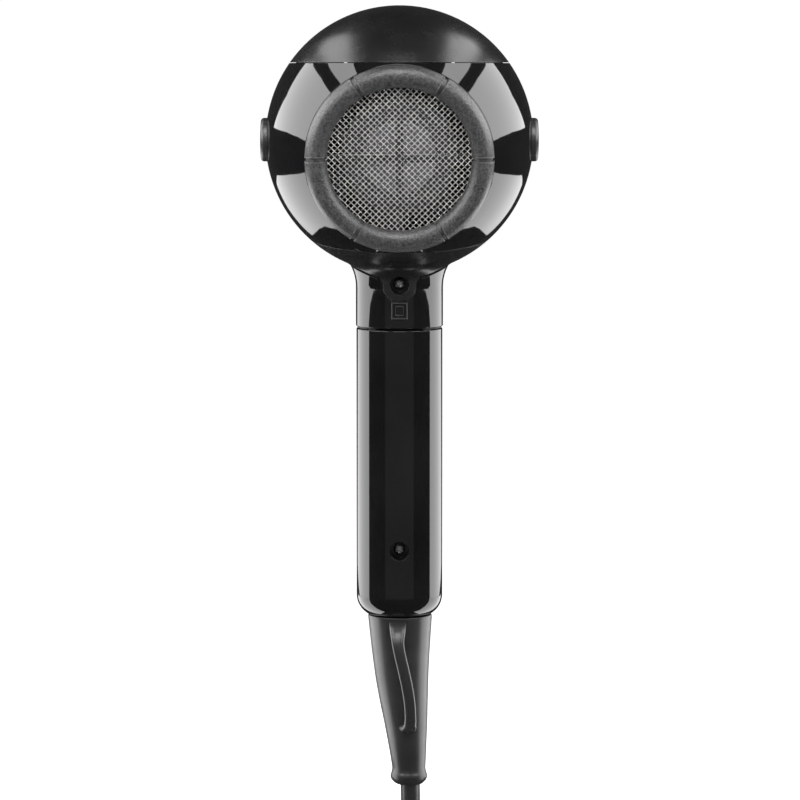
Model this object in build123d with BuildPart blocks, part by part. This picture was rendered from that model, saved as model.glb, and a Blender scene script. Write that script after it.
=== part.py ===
from build123d import *
import os
from math import acos, atan2, cos, degrees, hypot, pi, radians, sin, sqrt, tan

os.makedirs("parts", exist_ok=True)

# Travel hair dryer. Millimetres, +Z up along the upright handle, +Y towards the air outlet.
# The origin is the middle of the grip, on the axis of the round handle.

# ---- driving dimensions ----
BALL_R = 48.0  # outside radius of the ball-shaped barrel body
BALL_Z = 120.0  # ball centre above the middle of the grip
BARREL_TILT = 7.0  # outlet points up by this angle
WALL = 2.4  # barrel cover thickness
SEAM = 0.2  # joint line between two fixed covers
FIT = 0.05  # radial clearance of a running fit

SPIGOT_R = 27.0  # outlet spigot that takes a push-on nozzle
SPIGOT_START = 96.0  # all outlet distances run forward from the ball centre
SPIGOT_END = 108.0
SHOULDER_R = 28.2

BAND_TOP = 27.4  # upper joint line of the rear band, above the ball centre
BAND_TOP_RISE = 1.6  # degrees it rises towards the rear
BAND_BOTTOM = 35.1  # lower joint line, below the ball centre
BAND_FRONT = 16.0  # front joint line, ahead of the ball centre

INTAKE_DROP = 1.0  # intake axis runs this far below the ball centre
RING_R = 33.3  # filter ring outside radius
RING_GAP = 0.1  # round the ring in its seat
RING_CREST_R = 29.4
RING_CREST = 39.2  # ring crest behind the ball centre
RING_SEAT = 32.4
RING_EDGE = 34.6
OPENING_R = 25.4  # clear radius of the air intake
OPENING_EDGE = 36.2
MESH_BACK = 35.0
MESH_THICK = 0.5
GROOVES = 6
GROOVE_W = 1.3
GROOVE_DEPTH = 0.6

FAN_BACK = 31.8
FAN_HUB_R = 20.0
FAN_TIP_R = 30.3
FAN_BLADES = 7
BLADE_MIDDLE = 22.6  # behind the ball centre
DUCT_IN_R = 31.0
DUCT_OUT_R = 32.8
SHAFT_R = 1.15
MOTOR_R = 13.9
MOTOR_BACK = 14.0
MOTOR_FRONT = -14.0
MICA_TUBE_R = 23.1
HEATER_START = 32.0
HEATER_END = 94.0
COIL_ROWS = 8

CAP_R = 7.8  # rubber side caps over the cover screws
CAP_FACE = 49.9
CAP_DOME_R = 77.0
CAP_EDGE = 1.2  # rounding of the cap's outer edge

NECK_R = 15.65
NECK_BOTTOM = 53.05
FLARE_START = 67.3
FLARE_R = 16.0
TONGUE_R = 5.9  # barrel cover's tongue round the neck screw
BLEND_R = 6.0
NECK_SCREW_Z = 68.8
MARK_Z = 59.6

GRIP_R = 15.45
GRIP_TOP = 52.65
GRIP_BOTTOM = -52.0
GRIP_END_R = 7.9
GRIP_IN_R = 13.2
GRIP_SCREW_Z = -26.7
WELL_R = 3.4  # screw wells
WELL_DEPTH = 9.0
HINGE_Y = 16.0
HINGE_Z = 52.85
KNUCKLE_R = 3.3
HINGE_PIN_R = 1.5

SPEED_Z = 13.0
SPEED_TRAVEL = 8.0
COOL_Z = 38.0
DIAL_Z = -8.0

BOOT_TOP = -51.4  # rim of the boot, just under the rounded end of the grip
BOOT_END = -113.6
BEAD_X = 3.42  # sideways centre of the bead that ends the boot
BEAD_TOP = -108.4
BEAD_NECK_R = 6.08
CORD_X = 3.9
CORD_R = 3.5
FLOOR_Z = -179.3  # surface that the put-away cord lies on

# ---- frames of the barrel ----
forward = Vector(0, cos(radians(BARREL_TILT)), sin(radians(BARREL_TILT)))
upward = Vector(0, -sin(radians(BARREL_TILT)), cos(radians(BARREL_TILT)))
ball_centre = Vector(0, 0, BALL_Z)
intake_centre = ball_centre - upward * INTAKE_DROP
ball_axis = Axis(ball_centre, forward)
intake_axis = Axis(intake_centre, forward)
# In both profile planes x is the distance behind the ball centre and y the radius.
ball_profile = Plane(origin=ball_centre, x_dir=forward * -1, z_dir=(-1, 0, 0))
intake_profile = Plane(origin=intake_centre, x_dir=forward * -1, z_dir=(-1, 0, 0))
neck_profile = Plane(origin=(0, 0, 0), x_dir=(1, 0, 0), z_dir=(0, -1, 0))


def behind(distance):
    """Plane across the intake axis, this far behind the ball centre, seen from the rear."""
    return Plane(origin=intake_centre - forward * distance, x_dir=(1, 0, 0), z_dir=forward * -1)


def across_x(x):
    """Plane across the X axis through the ball centre."""
    return Plane(origin=(x, 0, BALL_Z), x_dir=(0, 1, 0), z_dir=(1, 0, 0))


def facing_front(y):
    """Plane facing +Y, in which local x is -X and local y is +Z."""
    return Plane(origin=(0, y, 0), x_dir=(-1, 0, 0), z_dir=(0, 1, 0))


# ---- outside and inside form of the barrel ----
nose_angle = atan2(SHOULDER_R, SPIGOT_START) + acos(BALL_R / hypot(SPIGOT_START, SHOULDER_R))
cone_fall = (BALL_R * sin(nose_angle) - SHOULDER_R) / (SPIGOT_START - BALL_R * cos(nose_angle))
bore_r = SPIGOT_R - WALL
bore_start = SPIGOT_START + (SHOULDER_R - WALL * sqrt(1 + cone_fall**2) - bore_r) / cone_fall

with BuildPart() as barrel_outside:
    with BuildSketch(ball_profile):
        with BuildLine():
            ball_arc = CenterArc((0, 0), BALL_R, 0, 180 - degrees(nose_angle))
            Polyline(
                ball_arc @ 1,
                (-SPIGOT_START, SHOULDER_R),
                (-SPIGOT_START, SPIGOT_R),
                (-SPIGOT_END, SPIGOT_R),
                (-SPIGOT_END, 0),
                (BALL_R, 0),
            )
        make_face()
    revolve(axis=ball_axis)

with BuildPart() as barrel_inside:
    with BuildSketch(ball_profile):
        with BuildLine():
            ball_arc = CenterArc((0, 0), BALL_R - WALL, 0, 180 - degrees(nose_angle))
            Polyline(
                ball_arc @ 1,
                (-bore_start, bore_r),
                (-SPIGOT_END - 1, bore_r),
                (-SPIGOT_END - 1, 0),
                (BALL_R - WALL, 0),
            )
        make_face()
    revolve(axis=ball_axis)


def band_zone(grow):
    """Wedge between the upper and lower joint lines, behind the front joint line."""
    reach = 60.0
    rise = tan(radians(BAND_TOP_RISE))
    fall = tan(radians(BARREL_TILT))
    front = BAND_FRONT + grow
    top = BALL_Z + BAND_TOP + grow
    bottom = BALL_Z - BAND_BOTTOM - grow
    with BuildPart() as zone:
        with BuildSketch(Plane.YZ):
            with BuildLine():
                Polyline(
                    (front, top - front * rise),
                    (-reach, top + reach * rise),
                    (-reach, bottom - reach * fall),
                    (front, bottom + front * fall),
                    close=True,
                )
            make_face()
        extrude(amount=reach, both=True)
    return zone.part


# ---- the tongue that the barrel cover sends down the back of the neck ----
def tongue_zone(grow):
    """Slab behind the handle axis, narrow round the screw and flared to the ball."""
    r = TONGUE_R + grow
    with BuildPart() as zone:
        with BuildSketch(neck_profile):
            with BuildLine():
                bowl = ThreePointArc(
                    (-r, NECK_SCREW_Z), (0, NECK_SCREW_Z - r), (r, NECK_SCREW_Z)
                )
                right = Spline(
                    bowl @ 1,
                    (8.8 + grow, 71.7 - grow),
                    (12.4 + grow, 72.9 - grow),
                    (18.5 + grow, 75.6 - grow),
                    tangents=[(0, 1), (1, 0.45)],
                )
                left = Spline(
                    bowl @ 0,
                    (-8.8 - grow, 71.7 - grow),
                    (-12.4 - grow, 72.9 - grow),
                    (-18.5 - grow, 75.6 - grow),
                    tangents=[(0, 1), (-1, 0.45)],
                )
                Polyline(right @ 1, (19.6, 80), (-19.6, 80), left @ 1)
            make_face()
        extrude(amount=30)
    return zone.part


blend_x = NECK_R + BLEND_R
blend_z = BALL_Z - sqrt((BALL_R + BLEND_R) ** 2 - blend_x**2)
blend_top = (
    blend_x * BALL_R / (BALL_R + BLEND_R),
    BALL_Z - (BALL_Z - blend_z) * BALL_R / (BALL_R + BLEND_R),
)
blend_mid = (blend_x - BLEND_R * cos(radians(33)), blend_z + BLEND_R * sin(radians(33)))

with BuildPart() as tongue:
    with BuildSketch(neck_profile):
        with BuildLine():
            wall = Polyline(
                (blend_top[0], blend_top[1] + 1.2),
                (GRIP_IN_R, BALL_Z - sqrt((BALL_R - WALL / 2) ** 2 - GRIP_IN_R**2)),
                (GRIP_IN_R, 60),
                (NECK_R, 60),
                (NECK_R, blend_z),
            )
            ThreePointArc(wall @ 1, blend_mid, blend_top)
            Line(blend_top, wall @ 0)
        make_face()
    revolve(axis=Axis.Z)
    add(tongue_zone(0), mode=Mode.INTERSECT)
    well_floor = -NECK_R + WELL_DEPTH
    with BuildSketch(Plane.XZ.offset(-well_floor - 1.3)):
        with Locations((0, NECK_SCREW_Z)):
            Circle(WELL_R + 1.3)
    extrude(amount=WELL_DEPTH - 1.0)

# ---- barrel covers ----
with BuildPart() as barrel_housing:
    add(barrel_outside.part)
    add(tongue.part)
    add(barrel_inside.part, mode=Mode.SUBTRACT)
    add(band_zone(SEAM), mode=Mode.SUBTRACT)
    with BuildSketch(Plane.XZ.offset(-well_floor)):
        with Locations((0, NECK_SCREW_Z)):
            Circle(WELL_R)
    extrude(amount=WELL_DEPTH + 5, mode=Mode.SUBTRACT)
    with BuildSketch(Plane.XZ.offset(-well_floor - 2)):
        with Locations((0, NECK_SCREW_Z)):
            Circle(1.3)
    extrude(amount=4, mode=Mode.SUBTRACT)
    with BuildSketch(Plane.XY.offset(70)):
        Circle(8.0)
    extrude(amount=10, mode=Mode.SUBTRACT)
barrel_housing.part.label = "barrel_housing"
export_step(barrel_housing.part, "parts/barrel_housing.step")

with BuildPart() as rear_band:
    add(barrel_outside.part)
    add(barrel_inside.part, mode=Mode.SUBTRACT)
    with BuildSketch(behind(RING_SEAT - 4.0)):
        Circle(RING_R + 0.6)
    extrude(amount=4.0)
    add(band_zone(0), mode=Mode.INTERSECT)
    for side in (-1, 1):
        with BuildSketch(across_x(39.8 * side)):
            Circle(CAP_R + 1.6)
        extrude(amount=6.4 * side)
    with BuildSketch(behind(RING_SEAT)):
        Circle(RING_R + RING_GAP)
    extrude(amount=20, mode=Mode.SUBTRACT)
    with BuildSketch(behind(20)):
        Circle(31.6)
    extrude(amount=30, mode=Mode.SUBTRACT)
    for side in (-1, 1):
        with BuildSketch(across_x(45.6 * side)):
            Circle(CAP_R + SEAM)
        extrude(amount=6 * side, mode=Mode.SUBTRACT)
        with BuildSketch(across_x(43.2 * side)):
            Circle(2.9)
        extrude(amount=4 * side, mode=Mode.SUBTRACT)
        with BuildSketch(across_x(38 * side)):
            Circle(1.7)
        extrude(amount=8 * side, mode=Mode.SUBTRACT)
rear_band.part.label = "rear_band"
export_step(rear_band.part, "parts/rear_band.step")

for side, name in ((-1, "side_cap_left"), (1, "side_cap_right")):
    with BuildPart() as side_cap:
        with BuildSketch(across_x(45.7 * side)):
            Circle(CAP_R)
        extrude(amount=(CAP_FACE - 45.7) * side)
        with Locations(((CAP_FACE - CAP_DOME_R) * side, 0, BALL_Z)):
            Sphere(CAP_DOME_R, mode=Mode.INTERSECT)
        fillet(side_cap.edges().group_by(Axis.X)[-1 if side > 0 else 0], CAP_EDGE)
    side_cap.part.label = name
    export_step(side_cap.part, f"parts/{name}.step")

with BuildPart() as cover_screws:
    for side in (-1, 1):
        with BuildSketch(across_x(43.3 * side)):
            Circle(2.7)
        extrude(amount=1.7 * side)
        with BuildSketch(across_x(35 * side)):
            Circle(1.5)
        extrude(amount=8.4 * side)
        with BuildSketch(across_x(44.2 * side)):
            Rectangle(0.6, 3.2)
            Rectangle(3.2, 0.6)
        extrude(amount=2 * side, mode=Mode.SUBTRACT)
cover_screws.part.label = "cover_screws"
export_step(cover_screws.part, "parts/cover_screws.step")


# ---- rear filter: ring, mesh and the frame that holds the mesh ----
def ring_face(inset):
    """Sketch of the ring's rounded face, from the outer edge over the crest to the opening."""
    outer_c = (RING_CREST**2 - RING_EDGE**2 - (RING_R - RING_CREST_R) ** 2) / (2 * (RING_CREST - RING_EDGE))
    inner_c = (RING_CREST**2 - OPENING_EDGE**2 - (RING_CREST_R - OPENING_R) ** 2) / (
        2 * (RING_CREST - OPENING_EDGE)
    )
    outer_r = RING_CREST - outer_c - inset
    inner_r = RING_CREST - inner_c - inset
    h = sqrt(0.5)
    with BuildSketch(intake_profile, mode=Mode.PRIVATE) as face:
        with BuildLine():
            crest = (RING_CREST - inset, RING_CREST_R)
            outer = (RING_EDGE, RING_CREST_R + sqrt(outer_r**2 - (RING_EDGE - outer_c) ** 2))
            inner = (OPENING_EDGE, RING_CREST_R - sqrt(inner_r**2 - (OPENING_EDGE - inner_c) ** 2))
            ThreePointArc(outer, (outer_c + outer_r * h, RING_CREST_R + outer_r * h), crest)
            ThreePointArc(crest, (inner_c + inner_r * h, RING_CREST_R - inner_r * h), inner)
            Polyline(
                inner,
                (MESH_BACK + MESH_THICK + 0.1, inner[1]),
                (MESH_BACK + MESH_THICK + 0.1, 28.0),
                (MESH_BACK - 0.05, 28.0),
                (MESH_BACK - 0.05, 29.9),
                (RING_SEAT - 3.5, 29.9),
                (RING_SEAT - 3.5, 31.4),
                (RING_SEAT + 0.05, 31.4),
                (RING_SEAT + 0.05, outer[1]),
                outer,
            )
        make_face()
    return face.sketch


with BuildPart() as ring_core:
    add(ring_face(GROOVE_DEPTH))
    revolve(axis=intake_axis)

with BuildPart() as groove_bars:
    with BuildSketch(behind(RING_SEAT + 2.6)):
        with PolarLocations(0, GROOVES):
            with Locations((30, 0)):
                Rectangle(12, GROOVE_W)
    extrude(amount=8)
    add(ring_core.part, mode=Mode.SUBTRACT)

with BuildPart() as filter_ring:
    add(ring_face(0))
    revolve(axis=intake_axis)
    add(groove_bars.part, mode=Mode.SUBTRACT)
filter_ring.part.label = "filter_ring"
export_step(filter_ring.part, "parts/filter_ring.step")

with BuildPart() as filter_mesh:
    with BuildSketch(behind(MESH_BACK)):
        Circle(27.8)
    extrude(amount=MESH_THICK)
filter_mesh.part.label = "filter_mesh"
export_step(filter_mesh.part, "parts/filter_mesh.step")

with BuildPart() as filter_frame:
    with BuildSketch(behind(MESH_BACK - 2.1)):
        Circle(29.7)
        Circle(26.4, mode=Mode.SUBTRACT)
        Rectangle(54, 2.5)
        Rectangle(2.5, 54)
    extrude(amount=2.0)
filter_frame.part.label = "filter_frame"
export_step(filter_frame.part, "parts/filter_frame.step")

# ---- fan, shaft and armature turn together ----
with BuildPart() as fan:
    with BuildSketch(behind(FAN_BACK - 14.8)):
        Circle(FAN_HUB_R)
    extrude(amount=14.8)
    fillet(fan.faces().sort_by(Axis(intake_centre, forward * -1))[-1].edges(), 0.8)
    with BuildSketch(behind(FAN_BACK - 14.8)):
        Circle(FAN_HUB_R - 1.5)
        Circle(3.2, mode=Mode.SUBTRACT)
    extrude(amount=13.2, mode=Mode.SUBTRACT)
    with BuildSketch(behind(FAN_BACK - 0.7)):
        Circle(15.8)
        Circle(14.5, mode=Mode.SUBTRACT)
    extrude(amount=2, mode=Mode.SUBTRACT)
    for blade in range(FAN_BLADES):
        turn = 2 * pi * blade / FAN_BLADES
        outwards = Vector(cos(turn), 0, 0) + upward * sin(turn)
        sideways = Vector(-sin(turn), 0, 0) + upward * cos(turn)
        for radius, stagger, chord in ((FAN_HUB_R - 0.6, 48, 12.0), (FAN_TIP_R, 62, 12.6)):
            spot = intake_centre - forward * BLADE_MIDDLE + outwards * radius
            with BuildSketch(Plane(origin=spot, x_dir=sideways, z_dir=outwards)):
                Rectangle(chord, 1.3, rotation=90 - stagger)
        loft()
    with BuildSketch(behind(FAN_BACK - 14.8)):
        Circle(SHAFT_R)
    extrude(amount=13.0, mode=Mode.SUBTRACT)
fan.part.label = "fan"
export_step(fan.part, "parts/fan.step")

with BuildPart() as motor_shaft:
    with BuildSketch(behind(-17.0)):
        Circle(SHAFT_R)
    extrude(amount=17.0 + FAN_BACK - 2.0)
motor_shaft.part.label = "motor_shaft"
export_step(motor_shaft.part, "parts/motor_shaft.step")

with BuildPart() as armature:
    with BuildSketch(behind(-6.0)):
        Circle(8.6)
        with PolarLocations(8.0, 5):
            Rectangle(3.0, 1.4, mode=Mode.SUBTRACT)
        with PolarLocations(5.6, 5):
            Circle(1.6, mode=Mode.SUBTRACT)
        Circle(SHAFT_R, mode=Mode.SUBTRACT)
    extrude(amount=14.0)
armature.part.label = "armature"
export_step(armature.part, "parts/armature.step")

with BuildPart() as commutator:
    with BuildSketch(behind(-12.0)):
        Circle(2.9)
        with PolarLocations(2.8, 5):
            Rectangle(0.8, 0.4, mode=Mode.SUBTRACT)
        Circle(SHAFT_R, mode=Mode.SUBTRACT)
    extrude(amount=4.5)
commutator.part.label = "commutator"
export_step(commutator.part, "parts/commutator.step")

# ---- motor ----
with BuildPart() as motor_case:
    with BuildSketch(behind(MOTOR_FRONT)):
        Circle(MOTOR_R)
    extrude(amount=MOTOR_BACK - MOTOR_FRONT)
    fillet(motor_case.faces().sort_by(Axis(intake_centre, forward * -1))[-1].edges(), 1.2)
    with BuildSketch(behind(MOTOR_FRONT)):
        Circle(MOTOR_R - 1.2)
        Circle(4.2, mode=Mode.SUBTRACT)
    extrude(amount=MOTOR_BACK - MOTOR_FRONT - 1.2, mode=Mode.SUBTRACT)
    with BuildSketch(behind(MOTOR_FRONT)):
        Circle(4.3)
    extrude(amount=MOTOR_BACK - MOTOR_FRONT - 4.0, mode=Mode.SUBTRACT)
    with BuildSketch(behind(MOTOR_BACK - 5)):
        Circle(3.0)
    extrude(amount=6, mode=Mode.SUBTRACT)
motor_case.part.label = "motor_case"
export_step(motor_case.part, "parts/motor_case.step")

with BuildPart() as motor_bearings:
    for start in (MOTOR_BACK - 3.8, MOTOR_FRONT - 1.8):
        with BuildSketch(behind(start)):
            Circle(3.0 - 0.02)
            Circle(SHAFT_R + FIT, mode=Mode.SUBTRACT)
        extrude(amount=2.8)
motor_bearings.part.label = "motor_bearings"
export_step(motor_bearings.part, "parts/motor_bearings.step")

with BuildPart() as motor_end_cap:
    with BuildSketch(behind(MOTOR_FRONT - 2.0)):
        Circle(MOTOR_R)
    extrude(amount=1.95)
    with BuildSketch(behind(MOTOR_FRONT - 2.0)):
        Circle(MOTOR_R - 1.3)
    extrude(amount=3.0)
    with BuildSketch(behind(MOTOR_FRONT - 3)):
        Circle(3.0)
    extrude(amount=5, mode=Mode.SUBTRACT)
motor_end_cap.part.label = "motor_end_cap"
export_step(motor_end_cap.part, "parts/motor_end_cap.step")

with BuildPart() as motor_magnets:
    with BuildSketch(behind(-8)):
        Circle(MOTOR_R - 1.3)
        Circle(9.4, mode=Mode.SUBTRACT)
        Rectangle(40, 9, mode=Mode.SUBTRACT)
    extrude(amount=16)
motor_magnets.part.label = "motor_magnets"
export_step(motor_magnets.part, "parts/motor_magnets.step")

with BuildPart() as rectifier_board:
    with BuildSketch(behind(-19.0)):
        Circle(12.0)
        Circle(3.5, mode=Mode.SUBTRACT)
    extrude(amount=1.5)
    with BuildSketch(behind(-22.5)):
        with PolarLocations(8.0, 4, start_angle=45):
            Rectangle(4.5, 2.7)
    extrude(amount=3.6)
rectifier_board.part.label = "rectifier_board"
export_step(rectifier_board.part, "parts/rectifier_board.step")

with BuildPart() as motor_mount:
    with BuildSketch(intake_profile):
        with BuildLine():
            Polyline(
                (28.2, DUCT_IN_R),
                (-12.0, DUCT_IN_R),
                (-22.0, MICA_TUBE_R + 0.2),
                (-28.0, MICA_TUBE_R + 0.2),
                (-28.0, MICA_TUBE_R + 1.9),
                (-22.8, MICA_TUBE_R + 1.9),
                (-12.8, DUCT_OUT_R),
                (28.2, DUCT_OUT_R),
                close=True,
            )
        make_face()
    revolve(axis=intake_axis)
    with BuildSketch(behind(-12)):
        Circle(MOTOR_R + 1.9)
        Circle(MOTOR_R + 0.15, mode=Mode.SUBTRACT)
    extrude(amount=24)
    with BuildSketch(behind(-8)):
        with PolarLocations(MOTOR_R + 9.4, 6, start_angle=30):
            Rectangle(16.0, 1.6)
    extrude(amount=20)
    for side in (-1, 1):
        with BuildSketch(across_x(32 * side)):
            Circle(4.0)
        extrude(amount=7.6 * side)
        with BuildSketch(across_x(34 * side)):
            Circle(1.5)
        extrude(amount=8 * side, mode=Mode.SUBTRACT)
motor_mount.part.label = "motor_mount"
export_step(motor_mount.part, "parts/motor_mount.step")

# ---- heater ----
with BuildPart() as mica_tube:
    with BuildSketch(behind(-99.0)):
        Circle(MICA_TUBE_R)
        Circle(MICA_TUBE_R - 0.5, mode=Mode.SUBTRACT)
    extrude(amount=99.0 - 22.5)
mica_tube.part.label = "mica_tube"
export_step(mica_tube.part, "parts/mica_tube.step")

heater_length = HEATER_END - HEATER_START
row_pitch = heater_length / COIL_ROWS
heater_middle = -(HEATER_START + HEATER_END) / 2
# Board planes hold the intake axis: local x runs forward, local y across.
flat_board = Plane(origin=intake_centre, x_dir=forward, z_dir=upward)
upright_board = Plane(origin=intake_centre, x_dir=forward, z_dir=(1, 0, 0))
for plane, name, slot_side in (
    (flat_board, "mica_board_flat", 1),
    (upright_board, "mica_board_upright", -1),
):
    with BuildPart() as mica_board:
        with BuildSketch(plane):
            with Locations((-heater_middle, 0)):
                Rectangle(heater_length, 43.0)
            with Locations((-heater_middle + slot_side * heater_length / 4, 0)):
                Rectangle(heater_length / 2 + 0.4, 1.0, mode=Mode.SUBTRACT)
            with Locations((-heater_middle, 0)):
                with GridLocations(row_pitch, 43.0 - 2.4, COIL_ROWS, 2):
                    Rectangle(3.0, 2.4, mode=Mode.SUBTRACT)
        extrude(amount=0.4, both=True)
    mica_board.part.label = name
    export_step(mica_board.part, f"parts/{name}.step")

with BuildPart() as heater_coils:
    for row in range(COIL_ROWS):
        place = -(HEATER_START + row_pitch * (row + 0.5))
        with BuildSketch(intake_profile):
            with Locations((place, 20.5)):
                Circle(0.8)
        revolve(axis=intake_axis)
heater_coils.part.label = "heater_coils"
export_step(heater_coils.part, "parts/heater_coils.step")

with BuildPart() as thermostat:
    with BuildSketch(Plane(origin=flat_board.from_local_coords((86, 9, 0.5)), x_dir=forward, z_dir=upward)):
        Rectangle(7.0, 11.0)
    extrude(amount=2.6)
    with BuildSketch(Plane(origin=flat_board.from_local_coords((86, 9, 3.0)), x_dir=forward, z_dir=upward)):
        Circle(3.0)
    extrude(amount=1.4)
thermostat.part.label = "thermostat"
export_step(thermostat.part, "parts/thermostat.step")

with BuildPart() as thermal_fuse:
    fuse_start = flat_board.from_local_coords((76, -9, 2.2))
    with BuildSketch(Plane(origin=fuse_start, x_dir=(1, 0, 0), z_dir=forward)):
        Circle(1.6)
    extrude(amount=9)
thermal_fuse.part.label = "thermal_fuse"
export_step(thermal_fuse.part, "parts/thermal_fuse.step")

with BuildPart() as outlet_grille:
    with BuildSketch(behind(-104.0)):
        Circle(bore_r - 1.15)
        for radius in (21.4, 17.2, 13.0, 8.8, 4.6):
            Circle(radius, mode=Mode.SUBTRACT)
            Circle(radius - 1.4)
        Circle(1.8, mode=Mode.SUBTRACT)
        Circle(1.8)
        with PolarLocations(0, 3):
            Rectangle(46, 1.4)
    extrude(amount=2.4)
    with BuildSketch(behind(-104.0)):
        Circle(bore_r - 1.15)
        Circle(MICA_TUBE_R + 0.15, mode=Mode.SUBTRACT)
    extrude(amount=8.0)
outlet_grille.part.label = "outlet_grille"
export_step(outlet_grille.part, "parts/outlet_grille.step")

# ---- neck ----
flare_angle = 30.0
flare_end = (
    NECK_R + FLARE_R * (1 - cos(radians(flare_angle))),
    FLARE_START + FLARE_R * sin(radians(flare_angle)),
)
flare_mid = (
    NECK_R + FLARE_R * (1 - cos(radians(flare_angle / 2))),
    FLARE_START + FLARE_R * sin(radians(flare_angle / 2)),
)
with BuildPart() as mark:
    with BuildSketch(Plane.XZ.offset(NECK_R - 1.5)):
        with Locations((0, MARK_Z)):
            Rectangle(5.6, 6.0)
            Rectangle(4.6, 5.0, mode=Mode.SUBTRACT)
            Rectangle(3.2, 3.6)
            Rectangle(2.3, 2.7, mode=Mode.SUBTRACT)
    extrude(amount=3)
    with BuildSketch(Plane.XY.offset(50)):
        Circle(NECK_R + 0.18)
    extrude(amount=20, mode=Mode.INTERSECT)

with BuildPart() as neck_shell:
    with BuildSketch(neck_profile):
        with BuildLine():
            edge = Polyline(
                (0, flare_end[1]),
                (0, NECK_BOTTOM),
                (NECK_R - 0.4, NECK_BOTTOM),
                (NECK_R, NECK_BOTTOM + 0.4),
                (NECK_R, FLARE_START),
            )
            ThreePointArc(edge @ 1, flare_mid, flare_end)
            Line(flare_end, (0, flare_end[1]))
        make_face()
    revolve(axis=Axis.Z)
    with BuildSketch(Plane.YZ.offset(-4.0)):
        with Locations((HINGE_Y, HINGE_Z)):
            Circle(KNUCKLE_R)
    extrude(amount=8.0)
    with BuildSketch(Plane.XY.offset(NECK_BOTTOM + 2.2)):
        Circle(GRIP_IN_R)
    extrude(amount=40, mode=Mode.SUBTRACT)
    with BuildSketch(facing_front(-5.2)):
        with Locations((0, NECK_SCREW_Z)):
            Circle(3.0)
    extrude(amount=19.5)
    with Locations(ball_centre):
        Sphere(BALL_R + SEAM, mode=Mode.SUBTRACT)
    add(tongue_zone(SEAM), mode=Mode.SUBTRACT)
    with BuildSketch(facing_front(-5.3)):
        with Locations((0, NECK_SCREW_Z)):
            Circle(3.0)
    extrude(amount=6)
    with BuildSketch(facing_front(-6)):
        with Locations((0, NECK_SCREW_Z)):
            Circle(1.0)
    extrude(amount=14, mode=Mode.SUBTRACT)
    with BuildSketch(Plane.XY.offset(NECK_BOTTOM - 1)):
        Circle(5.5)
    extrude(amount=4, mode=Mode.SUBTRACT)
    for side in (-1, 1):
        with BuildSketch(Plane.YZ.offset(4.0 * side)):
            with Locations((HINGE_Y, HINGE_Z)):
                Circle(KNUCKLE_R + 0.2)
        extrude(amount=4.9 * side, mode=Mode.SUBTRACT)
    with BuildSketch(Plane.YZ.offset(-10)):
        with Locations((HINGE_Y, HINGE_Z)):
            Circle(HINGE_PIN_R + FIT)
    extrude(amount=20, mode=Mode.SUBTRACT)
    add(mark.part)
neck_shell.part.label = "neck_shell"
export_step(neck_shell.part, "parts/neck_shell.step")


def recessed_screw(name, mouth_radius, z):
    """Pan-head screw with a cross recess at the bottom of a well in the back of the handle."""
    screw_seat = -mouth_radius + WELL_DEPTH
    with BuildPart() as screw:
        with BuildSketch(Plane.XZ.offset(-screw_seat + 0.05)):
            with Locations((0, z)):
                Circle(1.9)
        extrude(amount=1.4)
        fillet(screw.faces().sort_by(Axis.Y)[0].edges(), 0.5)
        with BuildSketch(Plane.XZ.offset(-screw_seat - 10)):
            with Locations((0, z)):
                Circle(1.0)
        extrude(amount=10.2)
        with BuildSketch(Plane.XZ.offset(-screw_seat + 0.6)):
            with Locations((0, z)):
                Rectangle(2.2, 0.5)
                Rectangle(0.5, 2.2)
        extrude(amount=2, mode=Mode.SUBTRACT)
    screw.part.label = name
    export_step(screw.part, f"parts/{name}.step")


recessed_screw("neck_screw", NECK_R, NECK_SCREW_Z)
recessed_screw("handle_screw", GRIP_R, GRIP_SCREW_Z)

with BuildPart() as hinge_pin:
    with BuildSketch(Plane.YZ.offset(-8.6)):
        with Locations((HINGE_Y, HINGE_Z)):
            Circle(HINGE_PIN_R)
    extrude(amount=17.2)
hinge_pin.part.label = "hinge_pin"
export_step(hinge_pin.part, "parts/hinge_pin.step")

# ---- handle ----
with BuildPart() as grip_form:
    with BuildSketch(neck_profile):
        with BuildLine():
            base = Line((0, GRIP_BOTTOM), (GRIP_R - GRIP_END_R, GRIP_BOTTOM))
            JernArc(base @ 1, (1, 0), GRIP_END_R, 90)
            Polyline(
                (GRIP_R, GRIP_BOTTOM + GRIP_END_R),
                (GRIP_R, GRIP_TOP - 0.4),
                (GRIP_R - 0.4, GRIP_TOP),
                (0, GRIP_TOP),
                (0, GRIP_BOTTOM),
            )
        make_face()
    revolve(axis=Axis.Z)
    with BuildSketch(neck_profile):
        with BuildLine():
            Polyline(
                (0, GRIP_BOTTOM + 3),
                (9.6, GRIP_BOTTOM + 3),
                (GRIP_IN_R, GRIP_BOTTOM + 7.5),
                (GRIP_IN_R, GRIP_TOP - 2.2),
                (0, GRIP_TOP - 2.2),
                close=True,
            )
        make_face()
    revolve(axis=Axis.Z, mode=Mode.SUBTRACT)
    with BuildSketch(Plane.XY.offset(GRIP_BOTTOM - 1)):
        Circle(7.2)
    extrude(amount=5, mode=Mode.SUBTRACT)
    with BuildSketch(Plane.XY.offset(GRIP_TOP - 4)):
        Circle(5.5)
    extrude(amount=5, mode=Mode.SUBTRACT)

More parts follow.
